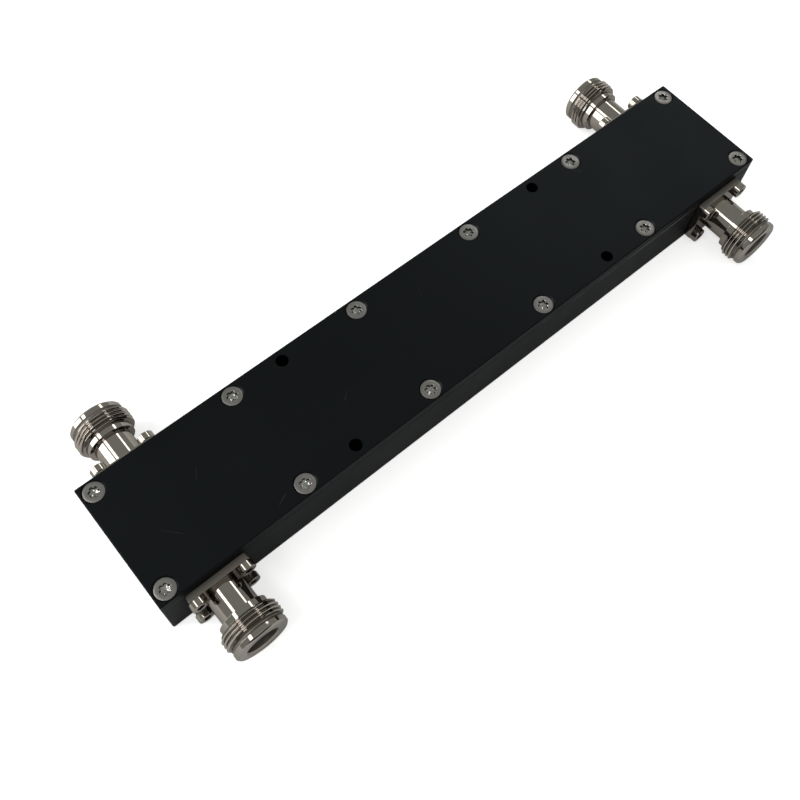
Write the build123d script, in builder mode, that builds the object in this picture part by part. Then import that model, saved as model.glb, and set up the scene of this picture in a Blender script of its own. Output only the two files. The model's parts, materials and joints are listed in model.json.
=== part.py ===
"""Four-port hybrid coupler: a long milled housing, its screwed lid and four threaded coaxial sockets.

Frame: millimetres, +Z up, origin on the underside at the middle of the housing.
+X runs along the housing and +Y across it, from the front pair of sockets to the back pair.
"""
from build123d import *

import os

# Housing and lid
body_length = 207.0
body_width = 36.4
housing_height = 15.6
lid_thickness = 3.4
side_wall = 6.4
end_wall = 7.0
floor_thickness = 2.0
cavity_corner_radius = 3.0
lid_step_depth = 1.6
edge_chamfer = 0.3
seam_chamfer = 0.15

# Lid screws: countersunk, with a six-lobe recess, in the middle of the walls
lid_screw_columns = 6
lid_screw_diameter = 3.0
lid_screw_length = 8.0
lid_screw_head_diameter = 5.5
lid_screw_head_sink = 0.3
recess_across_lobes = 2.8
recess_lobe_width = 0.85
recess_depth = 1.0

# Through holes that fix the coupler to a panel, between the lid screws
mounting_hole_diameter = 3.4
mounting_hole_spacing = 88.8

# Flange of a coaxial socket
socket_end_distance = 14.3
flange_width = 17.0
flange_thickness = 2.0
flange_ground_gap = 0.7
flange_corner_chamfer = 0.4
flange_back_chamfer = 0.35
flange_front_chamfer = 0.15

# Turned shell of a socket, from the flange out to the mouth
spigot_diameter = 10.0
spigot_length = 1.2
neck_diameter = 10.4
neck_length = 7.8
collar_diameter = 13.0
collar_length = 1.8
thread_diameter = 15.88
thread_length = 4.5
thread_chamfer = 0.4
lip_diameter = 14.8
lip_length = 2.1
lip_chamfer = 0.8
mouth_diameter = 8.6
mouth_depth = 9.1
mouth_chamfer = 0.35
air_line_diameter = 7.0
air_line_length = 1.6
insulator_diameter = 8.0

# Slotted centre contact and the pin behind it
contact_diameter = 3.04
contact_tip_depth = 4.2
contact_tip_chamfer = 0.2
contact_bore_diameter = 1.7
contact_bore_depth = 5.0
contact_slot_width = 0.35
contact_slot_length = 4.0
contact_shoulder_height = 3.0
pin_diameter = 2.4
pin_reach = 0.5

# Flange screws: cap heads with a hexagon socket
flange_screw_side_inset = 1.75
flange_screw_end_inset = 2.0
flange_screw_diameter = 2.5
flange_screw_grip = 4.0
flange_screw_head_diameter = 4.4
flange_screw_head_height = 2.0
hexagon_across_flats = 2.0
hexagon_depth = 1.1

# Coupled line bars on edge: a tight middle section, a looser one each side, and two ends
bar_thickness = 1.6
bar_height = 7.0
middle_bar_offset = 1.4
outer_bar_offset = 2.6
end_bar_offset = 6.0
middle_section_length = 44.0
inner_jog_length = 4.0
outer_jog_length = 8.0
bar_end_length = 12.2
bar_overhang = 3.0

# Dielectric supports that carry the bars
support_length = 6.0
support_inset = 7.0

# Clearances
fit_clearance = 0.05
screw_hole_clearance = 0.1
tapped_hole_clearance = 0.05
tapped_hole_spare_depth = 0.8
lid_step_clearance = 0.15

# Heights and plan sizes that follow
body_height = housing_height + lid_thickness
ceiling_height = housing_height - lid_step_depth
socket_height = (floor_thickness + ceiling_height) / 2
cavity_length = body_length - 2 * end_wall
cavity_width = body_width - 2 * side_wall
socket_spacing = body_length - 2 * socket_end_distance

# Fastener places that follow
lid_screw_pitch = (body_length - end_wall) / (lid_screw_columns - 1)
row_spacing = body_width - side_wall
flange_height = 2 * (socket_height - flange_ground_gap)
flange_screw_spacing_x = flange_width - 2 * flange_screw_side_inset
flange_screw_spacing_z = flange_height - 2 * flange_screw_end_inset

# Distances from the side wall along a socket's axis
neck_end = flange_thickness + neck_length
collar_end = neck_end + collar_length
thread_end = collar_end + thread_length
socket_end = thread_end + lip_length
reference_distance = socket_end - mouth_depth
insulator_front = reference_distance - air_line_length
contact_tip = socket_end - contact_tip_depth
pin_end = end_bar_offset - body_width / 2 - bar_thickness / 2 - pin_reach

# Radii used by more than one piece
insulator_radius = insulator_diameter / 2
pin_hole_radius = pin_diameter / 2 + fit_clearance
contact_hole_radius = contact_diameter / 2 + fit_clearance
lid_screw_radius = lid_screw_diameter / 2
lid_screw_head_radius = lid_screw_head_diameter / 2
flange_screw_radius = flange_screw_diameter / 2

# Seat of each socket on its side wall: a plane whose normal points out along the socket
seats = {}
for side_name, side in (("front", -1), ("back", 1)):
    for end_name, end in (("left", -1), ("right", 1)):
        seat_centre = (end * socket_spacing / 2, side * body_width / 2, socket_height)
        seat = Plane(origin=seat_centre, x_dir=(1, 0, 0), z_dir=(0, side, 0))
        seats[side_name + "_" + end_name] = seat

os.makedirs("parts", exist_ok=True)

# Housing: a milled trough with tapped holes, socket bores and the mounting holes
with BuildPart() as housing:
    with BuildSketch() as housing_outline:
        Rectangle(body_length, body_width)
        chamfer(housing_outline.vertices(), edge_chamfer)
    extrude(amount=housing_height)
    chamfer(housing.faces().sort_by(Axis.Z)[0].edges(), edge_chamfer)
    chamfer(housing.faces().sort_by(Axis.Z)[-1].edges(), seam_chamfer)
    with BuildSketch(Plane.XY.offset(floor_thickness)):
        RectangleRounded(cavity_length, cavity_width, cavity_corner_radius)
    extrude(amount=housing_height, mode=Mode.SUBTRACT)
    with BuildSketch(Plane.XY.offset(housing_height)):
        with GridLocations(lid_screw_pitch, row_spacing, lid_screw_columns, 2):
            Circle(lid_screw_radius + tapped_hole_clearance)
    lid_screw_bite = lid_screw_length + lid_screw_head_sink - lid_thickness
    extrude(amount=-lid_screw_bite - tapped_hole_spare_depth, mode=Mode.SUBTRACT)
    with BuildSketch():
        with GridLocations(mounting_hole_spacing, row_spacing, 2, 2):
            Circle(mounting_hole_diameter / 2)
    extrude(amount=housing_height, mode=Mode.SUBTRACT)
    for seat in seats.values():
        with BuildSketch(seat):
            Circle(spigot_diameter / 2 + fit_clearance)
        extrude(amount=-spigot_length - fit_clearance, mode=Mode.SUBTRACT)
        with BuildSketch(seat):
            Circle(insulator_radius + fit_clearance)
        extrude(amount=-side_wall, mode=Mode.SUBTRACT)
        with BuildSketch(seat):
            with GridLocations(flange_screw_spacing_x, flange_screw_spacing_z, 2, 2):
                Circle(flange_screw_radius + tapped_hole_clearance)
        extrude(amount=-flange_screw_grip - tapped_hole_spare_depth, mode=Mode.SUBTRACT)
housing.part.label = "housing"
export_step(housing.part, "parts/housing.step")

# Lid: a plate with a step that drops into the trough
with BuildPart() as lid:
    with BuildSketch(Plane.XY.offset(housing_height)) as lid_outline:
        Rectangle(body_length, body_width)
        chamfer(lid_outline.vertices(), edge_chamfer)
    extrude(amount=lid_thickness)
    chamfer(lid.faces().sort_by(Axis.Z)[-1].edges(), edge_chamfer)
    chamfer(lid.faces().sort_by(Axis.Z)[0].edges(), seam_chamfer)
    with BuildSketch(Plane.XY.offset(ceiling_height)):
        RectangleRounded(
            cavity_length - 2 * lid_step_clearance,
            cavity_width - 2 * lid_step_clearance,
            cavity_corner_radius - lid_step_clearance,
        )
    extrude(amount=lid_step_depth)
    with Locations(Plane.XY.offset(body_height)):
        with GridLocations(lid_screw_pitch, row_spacing, lid_screw_columns, 2):
            CounterSinkHole(
                radius=lid_screw_radius + screw_hole_clearance,
                counter_sink_radius=lid_screw_head_radius + lid_screw_head_sink + fit_clearance,
                depth=lid_thickness,
                counter_sink_angle=90,
            )
        with GridLocations(mounting_hole_spacing, row_spacing, 2, 2):
            Hole(mounting_hole_diameter / 2, depth=lid_thickness)
lid.part.label = "lid"
export_step(lid.part, "parts/lid.step")

# Lid screws: one group of like fasteners, with a cone under the head that meets the countersink,
# and three crossed slots as the six lobes of the recess
with BuildPart() as lid_screws:
    head_plane = Plane.XY.offset(body_height - lid_screw_head_sink)
    with BuildSketch(head_plane):
        with GridLocations(lid_screw_pitch, row_spacing, lid_screw_columns, 2):
            Circle(lid_screw_head_radius)
    extrude(amount=-lid_screw_head_radius + lid_screw_radius, taper=45)
    with BuildSketch(head_plane):
        with GridLocations(lid_screw_pitch, row_spacing, lid_screw_columns, 2):
            Circle(lid_screw_radius)
    extrude(amount=-lid_screw_length)
    with BuildSketch(head_plane):
        with GridLocations(lid_screw_pitch, row_spacing, lid_screw_columns, 2):
            with PolarLocations(0, 3, angular_range=180):
                Rectangle(recess_across_lobes, recess_lobe_width)
    extrude(amount=-recess_depth, mode=Mode.SUBTRACT)
lid_screws.part.label = "lid_screws"
export_step(lid_screws.part, "parts/lid_screws.step")

# Flange screws: one group of like fasteners, four to a socket
with BuildPart() as flange_screws:
    for seat in seats.values():
        with BuildSketch(seat.offset(flange_thickness)):
            with GridLocations(flange_screw_spacing_x, flange_screw_spacing_z, 2, 2):
                Circle(flange_screw_head_diameter / 2)
        extrude(amount=flange_screw_head_height)
        with BuildSketch(seat.offset(flange_thickness)):
            with GridLocations(flange_screw_spacing_x, flange_screw_spacing_z, 2, 2):
                Circle(flange_screw_radius)
        extrude(amount=-flange_thickness - flange_screw_grip)
        with BuildSketch(seat.offset(flange_thickness + flange_screw_head_height)):
            with GridLocations(flange_screw_spacing_x, flange_screw_spacing_z, 2, 2):
                RegularPolygon(hexagon_across_flats / 2, 6, major_radius=False)
        extrude(amount=-hexagon_depth, mode=Mode.SUBTRACT)
flange_screws.part.label = "flange_screws"
export_step(flange_screws.part, "parts/flange_screws.step")

# Half sections of the turned pieces, as radius and distance from the side wall
shell_section = [
    (insulator_radius, -spigot_length),
    (spigot_diameter / 2, -spigot_length),
    (spigot_diameter / 2, 0),
    (neck_diameter / 2, 0),
    (neck_diameter / 2, neck_end),
    (collar_diameter / 2, neck_end),
    (collar_diameter / 2, collar_end),
    (thread_diameter / 2 - thread_chamfer, collar_end),
    (thread_diameter / 2, collar_end + thread_chamfer),
    (thread_diameter / 2, thread_end),
    (lip_diameter / 2, thread_end),
    (lip_diameter / 2, socket_end - lip_chamfer),
    (lip_diameter / 2 - lip_chamfer, socket_end),
    (mouth_diameter / 2 + mouth_chamfer, socket_end),
    (mouth_diameter / 2, socket_end - mouth_chamfer),
    (mouth_diameter / 2, reference_distance),
    (air_line_diameter / 2, reference_distance),
    (air_line_diameter / 2, insulator_front),
    (insulator_radius, insulator_front),
]
insulator_section = [
    (pin_hole_radius, -side_wall),
    (insulator_radius - fit_clearance, -side_wall),
    (insulator_radius - fit_clearance, insulator_front),
    (contact_hole_radius, insulator_front),
    (contact_hole_radius, contact_shoulder_height),
    (pin_hole_radius, contact_shoulder_height),
]
contact_section = [
    (0, pin_end),
    (pin_diameter / 2, pin_end),
    (pin_diameter / 2, contact_shoulder_height),
    (contact_diameter / 2, contact_shoulder_height),
    (contact_diameter / 2, contact_tip - contact_tip_chamfer),
    (contact_diameter / 2 - contact_tip_chamfer, contact_tip),
    (contact_bore_diameter / 2, contact_tip),
    (contact_bore_diameter / 2, contact_tip - contact_bore_depth),
    (0, contact_tip - contact_bore_depth),
]

# Sockets: a shell turned in one piece with its flange, an insulator and a slotted centre contact
for name, seat in seats.items():
    socket_axis = Axis(seat.origin, seat.z_dir)
    section_plane = Plane(seat.origin, x_dir=seat.x_dir, z_dir=seat.x_dir.cross(seat.z_dir))

    with BuildPart() as shell:
        with BuildSketch(seat) as flange_outline:
            Rectangle(flange_width, flange_height)
            chamfer(flange_outline.vertices(), flange_corner_chamfer)
        extrude(amount=flange_thickness)
        chamfer(shell.faces().sort_by(socket_axis)[0].edges(), flange_back_chamfer)
        chamfer(shell.faces().sort_by(socket_axis)[-1].edges(), flange_front_chamfer)
        with BuildSketch(seat):
            Circle(insulator_radius)
            with GridLocations(flange_screw_spacing_x, flange_screw_spacing_z, 2, 2):
                Circle(flange_screw_radius + screw_hole_clearance)
        extrude(amount=flange_thickness, mode=Mode.SUBTRACT)
        with BuildSketch(section_plane):
            with BuildLine():
                Polyline(*shell_section, close=True)
            make_face()
        revolve(axis=socket_axis)
    shell.part.label = name + "_shell"
    export_step(shell.part, f"parts/{name}_shell.step")

    with BuildPart() as insulator:
        with BuildSketch(section_plane):
            with BuildLine():
                Polyline(*insulator_section, close=True)
            make_face()
        revolve(axis=socket_axis)
    insulator.part.label = name + "_insulator"
    export_step(insulator.part, f"parts/{name}_insulator.step")

    with BuildPart() as contact:
        with BuildSketch(section_plane):
            with BuildLine():
                Polyline(*contact_section, close=True)
            make_face()
        revolve(axis=socket_axis)
        with BuildSketch(seat.offset(contact_tip)):
            Rectangle(2 * contact_diameter, contact_slot_width)
            Rectangle(contact_slot_width, 2 * contact_diameter)
        extrude(amount=-contact_slot_length, mode=Mode.SUBTRACT)
    contact.part.label = name + "_contact"
    export_step(contact.part, f"parts/{name}_contact.step")

# Coupled line bars: one joins the two front sockets, the other the two back ones
bar_end = socket_spacing / 2 + bar_overhang
bar_end_start = bar_end - bar_end_length
outer_section_end = bar_end_start - outer_jog_length
outer_section_start = middle_section_length / 2 + inner_jog_length
for side_name, side in (("front", -1), ("back", 1)):
    right_half = [
        (middle_section_length / 2, side * middle_bar_offset),
        (outer_section_start, side * outer_bar_offset),
        (outer_section_end, side * outer_bar_offset),
        (bar_end_start, side * end_bar_offset),
        (bar_end, side * end_bar_offset),
    ]
    left_half = [(-x, y) for x, y in reversed(right_half)]

    with BuildPart() as bar:
        with BuildSketch(Plane.XY.offset(socket_height - bar_height / 2)):
            with BuildLine():
                Polyline(*left_half, *right_half)
            trace(line_width=bar_thickness)
        extrude(amount=bar_height)
        for end_name in ("left", "right"):
            with BuildSketch(seats[side_name + "_" + end_name]):
                Circle(pin_hole_radius)
            extrude(amount=pin_end, mode=Mode.SUBTRACT)
    bar.part.label = side_name + "_line_bar"
    export_step(bar.part, f"parts/{side_name}_line_bar.step")

# Bar supports: blocks across the trough, slotted from above so that the bars drop in
slot_floor = socket_height - bar_height / 2
support_places = [
    (-outer_section_end + support_inset, outer_bar_offset),
    (-outer_section_start - support_inset, outer_bar_offset),
    (0, middle_bar_offset),
    (outer_section_start + support_inset, outer_bar_offset),
    (outer_section_end - support_inset, outer_bar_offset),
]
for number, (support_x, bar_offset) in enumerate(support_places, 1):
    with BuildPart() as support:
        with BuildSketch(Plane.XY.offset(floor_thickness)):
            with Locations((support_x, 0)):
                Rectangle(support_length, cavity_width - 2 * fit_clearance)
        extrude(amount=ceiling_height - fit_clearance - floor_thickness)
        with BuildSketch(Plane.XY.offset(slot_floor)):
            with Locations((support_x, -bar_offset), (support_x, bar_offset)):
                Rectangle(support_length, bar_thickness + 2 * fit_clearance)
        extrude(amount=ceiling_height, mode=Mode.SUBTRACT)
    support.part.label = f"bar_support_{number}"
    export_step(support.part, f"parts/bar_support_{number}.step")
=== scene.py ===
"""Four-port hybrid coupler: the finish, the turned sockets and the screws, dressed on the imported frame.

Units are metres and +Z is up. +X runs along the housing and +Y across it, from the front pair of sockets
to the back pair. A turned piece is drawn about the Z axis and then laid on its seat.
"""
import json
import math

import bmesh
import bpy
from mathutils import Euler, Matrix, Vector


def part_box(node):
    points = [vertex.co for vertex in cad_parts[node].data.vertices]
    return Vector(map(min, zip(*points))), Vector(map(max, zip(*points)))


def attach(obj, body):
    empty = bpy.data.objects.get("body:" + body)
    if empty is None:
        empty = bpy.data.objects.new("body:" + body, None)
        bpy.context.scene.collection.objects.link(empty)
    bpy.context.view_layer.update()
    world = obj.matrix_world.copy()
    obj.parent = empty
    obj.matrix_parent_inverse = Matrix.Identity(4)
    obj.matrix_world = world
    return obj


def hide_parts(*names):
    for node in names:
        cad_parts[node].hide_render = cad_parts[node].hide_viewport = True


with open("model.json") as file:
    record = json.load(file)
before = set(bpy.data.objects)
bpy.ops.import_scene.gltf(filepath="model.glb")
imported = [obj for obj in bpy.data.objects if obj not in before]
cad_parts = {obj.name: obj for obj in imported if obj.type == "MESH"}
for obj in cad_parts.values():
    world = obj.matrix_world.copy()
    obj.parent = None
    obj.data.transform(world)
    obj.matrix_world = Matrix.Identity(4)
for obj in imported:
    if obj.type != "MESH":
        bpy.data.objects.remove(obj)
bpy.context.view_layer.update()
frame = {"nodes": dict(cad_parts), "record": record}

bl_info = {
    "name": "Hybrid Coupler",
    "version": (1, 0, 0),
    "blender": (4, 5, 0),
    "location": "3D View > Sidebar > Coupler",
    "description": "Dresses a four-port hybrid coupler: anodised body, nickel sockets and steel screws",
    "category": "Object",
}

MM = 0.001
BODY = "root"
MOUNTS = {mount["name"]: mount for mount in frame["record"]["mounts"]}
SOCKETS = ("front_left", "front_right", "back_left", "back_right")
HOUSING_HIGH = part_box("housing")[1]
SHELL_LOW, SHELL_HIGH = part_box("back_right_shell")
SCREWS_LOW, SCREWS_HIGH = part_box("lid_screws")
CAPS_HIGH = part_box("flange_screws")[1]

# Sizes that the frame gives
WALL = HOUSING_HIGH[1]
SEAM_HEIGHT = HOUSING_HIGH[2]
LID_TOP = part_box("lid")[1][2]
SOCKET_X = MOUNTS["back_right_socket"]["pos_m"][0]
SOCKET_HEIGHT = MOUNTS["back_right_socket"]["pos_m"][2]
THREAD_RADIUS = MOUNTS["back_right_socket"]["dims"]["r_mm"] * MM
SOCKET_LENGTH = SHELL_HIGH[1] - WALL
SPIGOT_LENGTH = WALL - SHELL_LOW[1]
FLANGE_WIDTH = SHELL_HIGH[0] - SHELL_LOW[0]
HEAD_TOP = SCREWS_HIGH[2]

# Steps of a full turn, the distance at which points merge, and how far pieces overlap or keep clear
TURNED_STEPS = 96
BORE_STEPS = 48
WELD = 0.002 * MM
OVERLAP = 0.05 * MM
BORE_ROOM = 0.1 * MM

# What is left of the bright edge that a metal shows at a grazing look
METAL_TINT = (0.65, 0.65, 0.65, 1.0)
ANODISED_TINT = (0.6, 0.6, 0.6, 1.0)

# Each lamp's place, aim, width, length and watts
LAMPS = {
    "left_strip": ((-1.21, 0.5, 1.8), (0.0, 0.0, LID_TOP / 2), 0.50, 2.0, 14.0),
    "right_strip": ((1.83, 1.16, 1.8), (0.0, 0.0, LID_TOP / 2), 0.42, 1.15, 6.6),
    "window": ((-1.5, 1.15, 0.69), (0.0, 1.15, 0.69), 1.34, 1.1, 19.5),
}
# Where the room's bands begin and end, as the share of a direction that points up or to the back
PALE_BAND = (0.04, 0.12)
LOW_FRONT_BAND = (0.3, 0.4)
FRONT_BAND = (0.0, -0.3)
FLOOR_RADIUS = 6.0

# The camera's place, its turn in degrees, its lens and sensor in millimetres, its shift and nearest view
CAMERA_PLACE = (-0.101348635, -0.086223359, 0.238552774)
CAMERA_TURN = (27.316039, -2.513148, -40.246303)
CAMERA_LENS = 43.364662
CAMERA_SENSOR = 36.0
CAMERA_SHIFT = (-0.006772, -0.043632)
CAMERA_NEAREST = 0.01


def linear(colour):
    """The linear colour of an sRGB hex value such as "#8c8c88"."""
    parts = [int(colour[i : i + 2], 16) / 255 for i in (1, 3, 5)]
    return tuple(c / 12.92 if c <= 0.04045 else ((c + 0.055) / 1.055) ** 2.4 for c in parts)


def shade(colour, share):
    """A colour with a share of its light left."""
    return tuple(share * c for c in colour)


def rgba(colour, share=1.0):
    """A share of a colour as a socket takes it, with its alpha."""
    return (*shade(colour, share), 1.0)


class CouplerFinish(bpy.types.PropertyGroup):
    anodised_black: bpy.props.FloatVectorProperty(
        name="Anodised black",
        description="Colour of the black anodised housing and lid",
        subtype="COLOR",
        default=linear("#202224"),
    )
    # Colour of dust and scratches, and also of the painted highlight along the seam between lid and
    # housing
    dust_and_seam_highlight: bpy.props.FloatVectorProperty(
        name="Worn aluminium",
        description="Colour of dust, scratches and worn edges on the anodised body",
        subtype="COLOR",
        default=linear("#8f8f8a"),
    )
    nickel: bpy.props.FloatVectorProperty(
        name="Nickel",
        description="Colour of the nickel plate on the sockets",
        subtype="COLOR",
        default=linear("#a09991"),
    )
    screw_steel: bpy.props.FloatVectorProperty(
        name="Screw steel",
        description="Colour of the stainless steel screws",
        subtype="COLOR",
        default=linear("#8b8784"),
    )
    recess_steel: bpy.props.FloatVectorProperty(
        name="Recess steel",
        description="Colour of the bright steel in the recess of a lid screw",
        subtype="COLOR",
        default=linear("#a9a7a3"),
    )
    dielectric: bpy.props.FloatVectorProperty(
        name="PTFE",
        description="Colour of the PTFE insulators and bar supports",
        subtype="COLOR",
        default=linear("#f1f0ea"),
    )
    dull_dielectric: bpy.props.FloatVectorProperty(
        name="Dull PTFE",
        description="Darker tone of the PTFE in its tool marks",
        subtype="COLOR",
        default=linear("#dfddd4"),
    )
    contact_gold: bpy.props.FloatVectorProperty(
        name="Contact gold",
        description="Colour of the gold plate on the centre contacts",
        subtype="COLOR",
        default=linear("#ecc36b"),
    )
    bar_silver: bpy.props.FloatVectorProperty(
        name="Bar silver",
        description="Colour of the silver plate on the line bars",
        subtype="COLOR",
        default=linear("#e9e6df"),
    )
    etched_grain: bpy.props.FloatProperty(
        name="Etched grain",
        description="Size of the grain that etching leaves under the anodised layer",
        subtype="DISTANCE",
        default=0.35 * MM,
        min=0.05 * MM,
    )
    dust_spacing: bpy.props.FloatProperty(
        name="Dust spacing",
        description="Typical distance between specks of dust on the anodised body",
        subtype="DISTANCE",
        default=9.0 * MM,
        min=1.0 * MM,
    )
    turning_feed: bpy.props.FloatProperty(
        name="Turning feed",
        description="Spacing of the fine rings that the lathe tool leaves",
        subtype="DISTANCE",
        default=0.12 * MM,
        min=0.02 * MM,
    )


class CouplerSockets(bpy.types.PropertyGroup):
    flange_height: bpy.props.FloatProperty(
        name="Flange height",
        description="Height of the socket's flange",
        subtype="DISTANCE",
        default=14.6 * MM,
    )
    flange_thickness: bpy.props.FloatProperty(
        name="Flange thickness",
        description="Thickness of the socket's flange",
        subtype="DISTANCE",
        default=2.0 * MM,
    )
    flange_corner_chamfer: bpy.props.FloatProperty(
        name="Flange corner chamfer",
        description="Chamfer on the four corners of the flange",
        subtype="DISTANCE",
        default=0.4 * MM,
    )
    flange_back_chamfer: bpy.props.FloatProperty(
        name="Flange back chamfer",
        description="Chamfer round the face of the flange that sits on the wall",
        subtype="DISTANCE",
        default=0.12 * MM,
    )
    spigot_radius: bpy.props.FloatProperty(
        name="Spigot radius",
        description="Radius of the spigot behind the flange",
        subtype="DISTANCE",
        default=5.0 * MM,
    )
    neck_radius: bpy.props.FloatProperty(
        name="Neck radius",
        description="Radius of the plain neck in front of the flange",
        subtype="DISTANCE",
        default=5.2 * MM,
    )
    neck_length: bpy.props.FloatProperty(
        name="Neck length",
        description="Length of the neck from the flange to the collar",
        subtype="DISTANCE",
        default=7.8 * MM,
    )
    collar_radius: bpy.props.FloatProperty(
        name="Collar radius",
        description="Radius of the collar between neck and thread",
        subtype="DISTANCE",
        default=6.5 * MM,
    )
    collar_length: bpy.props.FloatProperty(
        name="Collar length",
        description="Length of the collar",
        subtype="DISTANCE",
        default=1.8 * MM,
    )
    thread_length: bpy.props.FloatProperty(
        name="Thread length",
        description="Length of the thread",
        subtype="DISTANCE",
        default=4.0 * MM,
    )
    thread_pitch: bpy.props.FloatProperty(
        name="Thread pitch",
        description="Pitch of the coupling thread, 24 turns to the inch",
        subtype="DISTANCE",
        default=25.4 / 24 * MM,
    )
    thread_depth: bpy.props.FloatProperty(
        name="Thread depth",
        description="Depth of the coupling thread from crest to root",
        subtype="DISTANCE",
        default=0.62 * MM,
    )
    relief_depth: bpy.props.FloatProperty(
        name="Relief depth",
        description="Depth of the groove where the thread ends, below its root",
        subtype="DISTANCE",
        default=0.3 * MM,
    )
    relief_width: bpy.props.FloatProperty(
        name="Relief width",
        description="Width of the groove where the thread ends",
        subtype="DISTANCE",
        default=0.45 * MM,
    )
    lip_radius: bpy.props.FloatProperty(
        name="Lip radius",
        description="Radius of the plain lip in front of the thread",
        subtype="DISTANCE",
        default=7.4 * MM,
    )
    lip_chamfer: bpy.props.FloatProperty(
        name="Lip chamfer",
        description="Chamfer on the outside of the lip",
        subtype="DISTANCE",
        default=0.55 * MM,
    )
    mouth_radius: bpy.props.FloatProperty(
        name="Mouth radius",
        description="Radius of the bore that takes the plug",
        subtype="DISTANCE",
        default=4.3 * MM,
    )
    mouth_depth: bpy.props.FloatProperty(
        name="Mouth depth",
        description="Depth of the mouth to the face that the plug meets",
        subtype="DISTANCE",
        default=9.1 * MM,
    )
    countersink_width: bpy.props.FloatProperty(
        name="Countersink width",
        description="Width of the shallow countersink round the mouth",
        subtype="DISTANCE",
        default=0.7 * MM,
    )
    countersink_depth: bpy.props.FloatProperty(
        name="Countersink depth",
        description="Depth of the shallow countersink round the mouth",
        subtype="DISTANCE",
        default=0.4 * MM,
    )
    air_line_radius: bpy.props.FloatProperty(
        name="Air line radius",
        description="Radius of the narrow bore behind the mouth",
        subtype="DISTANCE",
        default=3.5 * MM,
    )
    air_line_length: bpy.props.FloatProperty(
        name="Air line length",
        description="Length of the narrow bore behind the mouth",
        subtype="DISTANCE",
        default=1.6 * MM,
    )
    insulator_radius: bpy.props.FloatProperty(
        name="Insulator radius",
        description="Radius of the bore that holds the insulator",
        subtype="DISTANCE",
        default=4.0 * MM,
    )


class CouplerScrews(bpy.types.PropertyGroup):
    columns: bpy.props.IntProperty(
        name="Columns",
        description="Number of lid screws along each wall",
        default=6,
        min=2,
    )
    seat_radius: bpy.props.FloatProperty(
        name="Lid screw seat radius",
        description="Radius of the countersink's edge that the frame's screws fill",
        subtype="DISTANCE",
        default=2.75 * MM,
    )
    head_radius: bpy.props.FloatProperty(
        name="Lid screw head radius",
        description="Radius of a countersunk head",
        subtype="DISTANCE",
        default=2.66 * MM,
    )
    shank_radius: bpy.props.FloatProperty(
        name="Lid screw shank radius",
        description="Radius of a lid screw's shank",
        subtype="DISTANCE",
        default=1.5 * MM,
    )
    lobe_tip_radius: bpy.props.FloatProperty(
        name="Lobe tip radius",
        description="Radius of the six-lobe recess at the tip of a lobe",
        subtype="DISTANCE",
        default=1.5 * MM,
    )
    lobe_root_radius: bpy.props.FloatProperty(
        name="Lobe root radius",
        description="Radius of the six-lobe recess between two lobes",
        subtype="DISTANCE",
        default=1.02 * MM,
    )
    recess_depth: bpy.props.FloatProperty(
        name="Recess depth",
        description="Depth of the six-lobe recess",
        subtype="DISTANCE",
        default=1.0 * MM,
    )
    cap_radius: bpy.props.FloatProperty(
        name="Cap radius",
        description="Radius of a flange screw's head",
        subtype="DISTANCE",
        default=2.2 * MM,
    )
    cap_height: bpy.props.FloatProperty(
        name="Cap height",
        description="Height of a flange screw's head",
        subtype="DISTANCE",
        default=2.0 * MM,
    )
    cap_shank_radius: bpy.props.FloatProperty(
        name="Flange screw shank radius",
        description="Radius of a flange screw's shank",
        subtype="DISTANCE",
        default=1.25 * MM,
    )
    cap_shank_length: bpy.props.FloatProperty(
        name="Flange screw shank length",
        description="Length of a flange screw's shank under its head",
        subtype="DISTANCE",
        default=6.0 * MM,
    )
    cap_chamfer: bpy.props.FloatProperty(
        name="Cap chamfer",
        description="Chamfer round the face of a flange screw's head",
        subtype="DISTANCE",
        default=0.15 * MM,
    )
    hexagon_apothem: bpy.props.FloatProperty(
        name="Hexagon apothem",
        description="Half the width across flats of the hexagon socket",
        subtype="DISTANCE",
        default=1.0 * MM,
    )
    hexagon_depth: bpy.props.FloatProperty(
        name="Hexagon depth",
        description="Depth of the hexagon socket",
        subtype="DISTANCE",
        default=1.1 * MM,
    )


class CouplerStage(bpy.types.PropertyGroup):
    floor_colour: bpy.props.FloatVectorProperty(
        name="Floor colour",
        description="Colour of the pale floor",
        subtype="COLOR",
        default=linear("#f4f4f4"),
    )
    floor_glow: bpy.props.FloatProperty(
        name="Floor glow",
        description="Strength added to the floor as the camera sees it, so that it shows white",
        default=0.6,
        min=0.0,
    )
    mirrored_glow: bpy.props.FloatProperty(
        name="Mirrored glow",
        description="Strength added to the floor as metal mirrors it",
        default=0.05,
        min=0.0,
    )
    ceiling_colour: bpy.props.FloatVectorProperty(
        name="Ceiling colour",
        description="Colour of the dim ceiling over the stage",
        subtype="COLOR",
        default=linear("#a9aea9"),
    )
    front_colour: bpy.props.FloatVectorProperty(
        name="Front colour",
        description="Colour of the wide soft light over the front of the stage",
        subtype="COLOR",
        default=linear("#cfcfcc"),
    )
    low_front_colour: bpy.props.FloatVectorProperty(
        name="Low front colour",
        description="Colour of the dark part of the room under the front light, seen in chamfers",
        subtype="COLOR",
        default=linear("#3a3c3a"),
    )
    horizon_colour: bpy.props.FloatVectorProperty(
        name="Horizon colour",
        description="Colour of the low pale band round the stage",
        subtype="COLOR",
        default=linear("#ffffff"),
    )


def add_node(tree, kind, inputs=None, **settings):
    """Adds a node. Settings are its properties; inputs are values for its sockets or sockets to link."""
    node = tree.nodes.new(kind)
    for name, value in settings.items():
        setattr(node, name, value)
    for socket, value in (inputs or {}).items():
        if isinstance(value, bpy.types.NodeSocket):
            tree.links.new(value, node.inputs[socket])
        else:
            node.inputs[socket].default_value = value
    return node


def new_material(name, colour):
    """An empty node material, with the colour that a plain viewport shows."""
    material = bpy.data.materials.new(name)
    material.use_nodes = True
    material.node_tree.nodes.clear()
    material.diffuse_color = rgba(colour)
    return material


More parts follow.
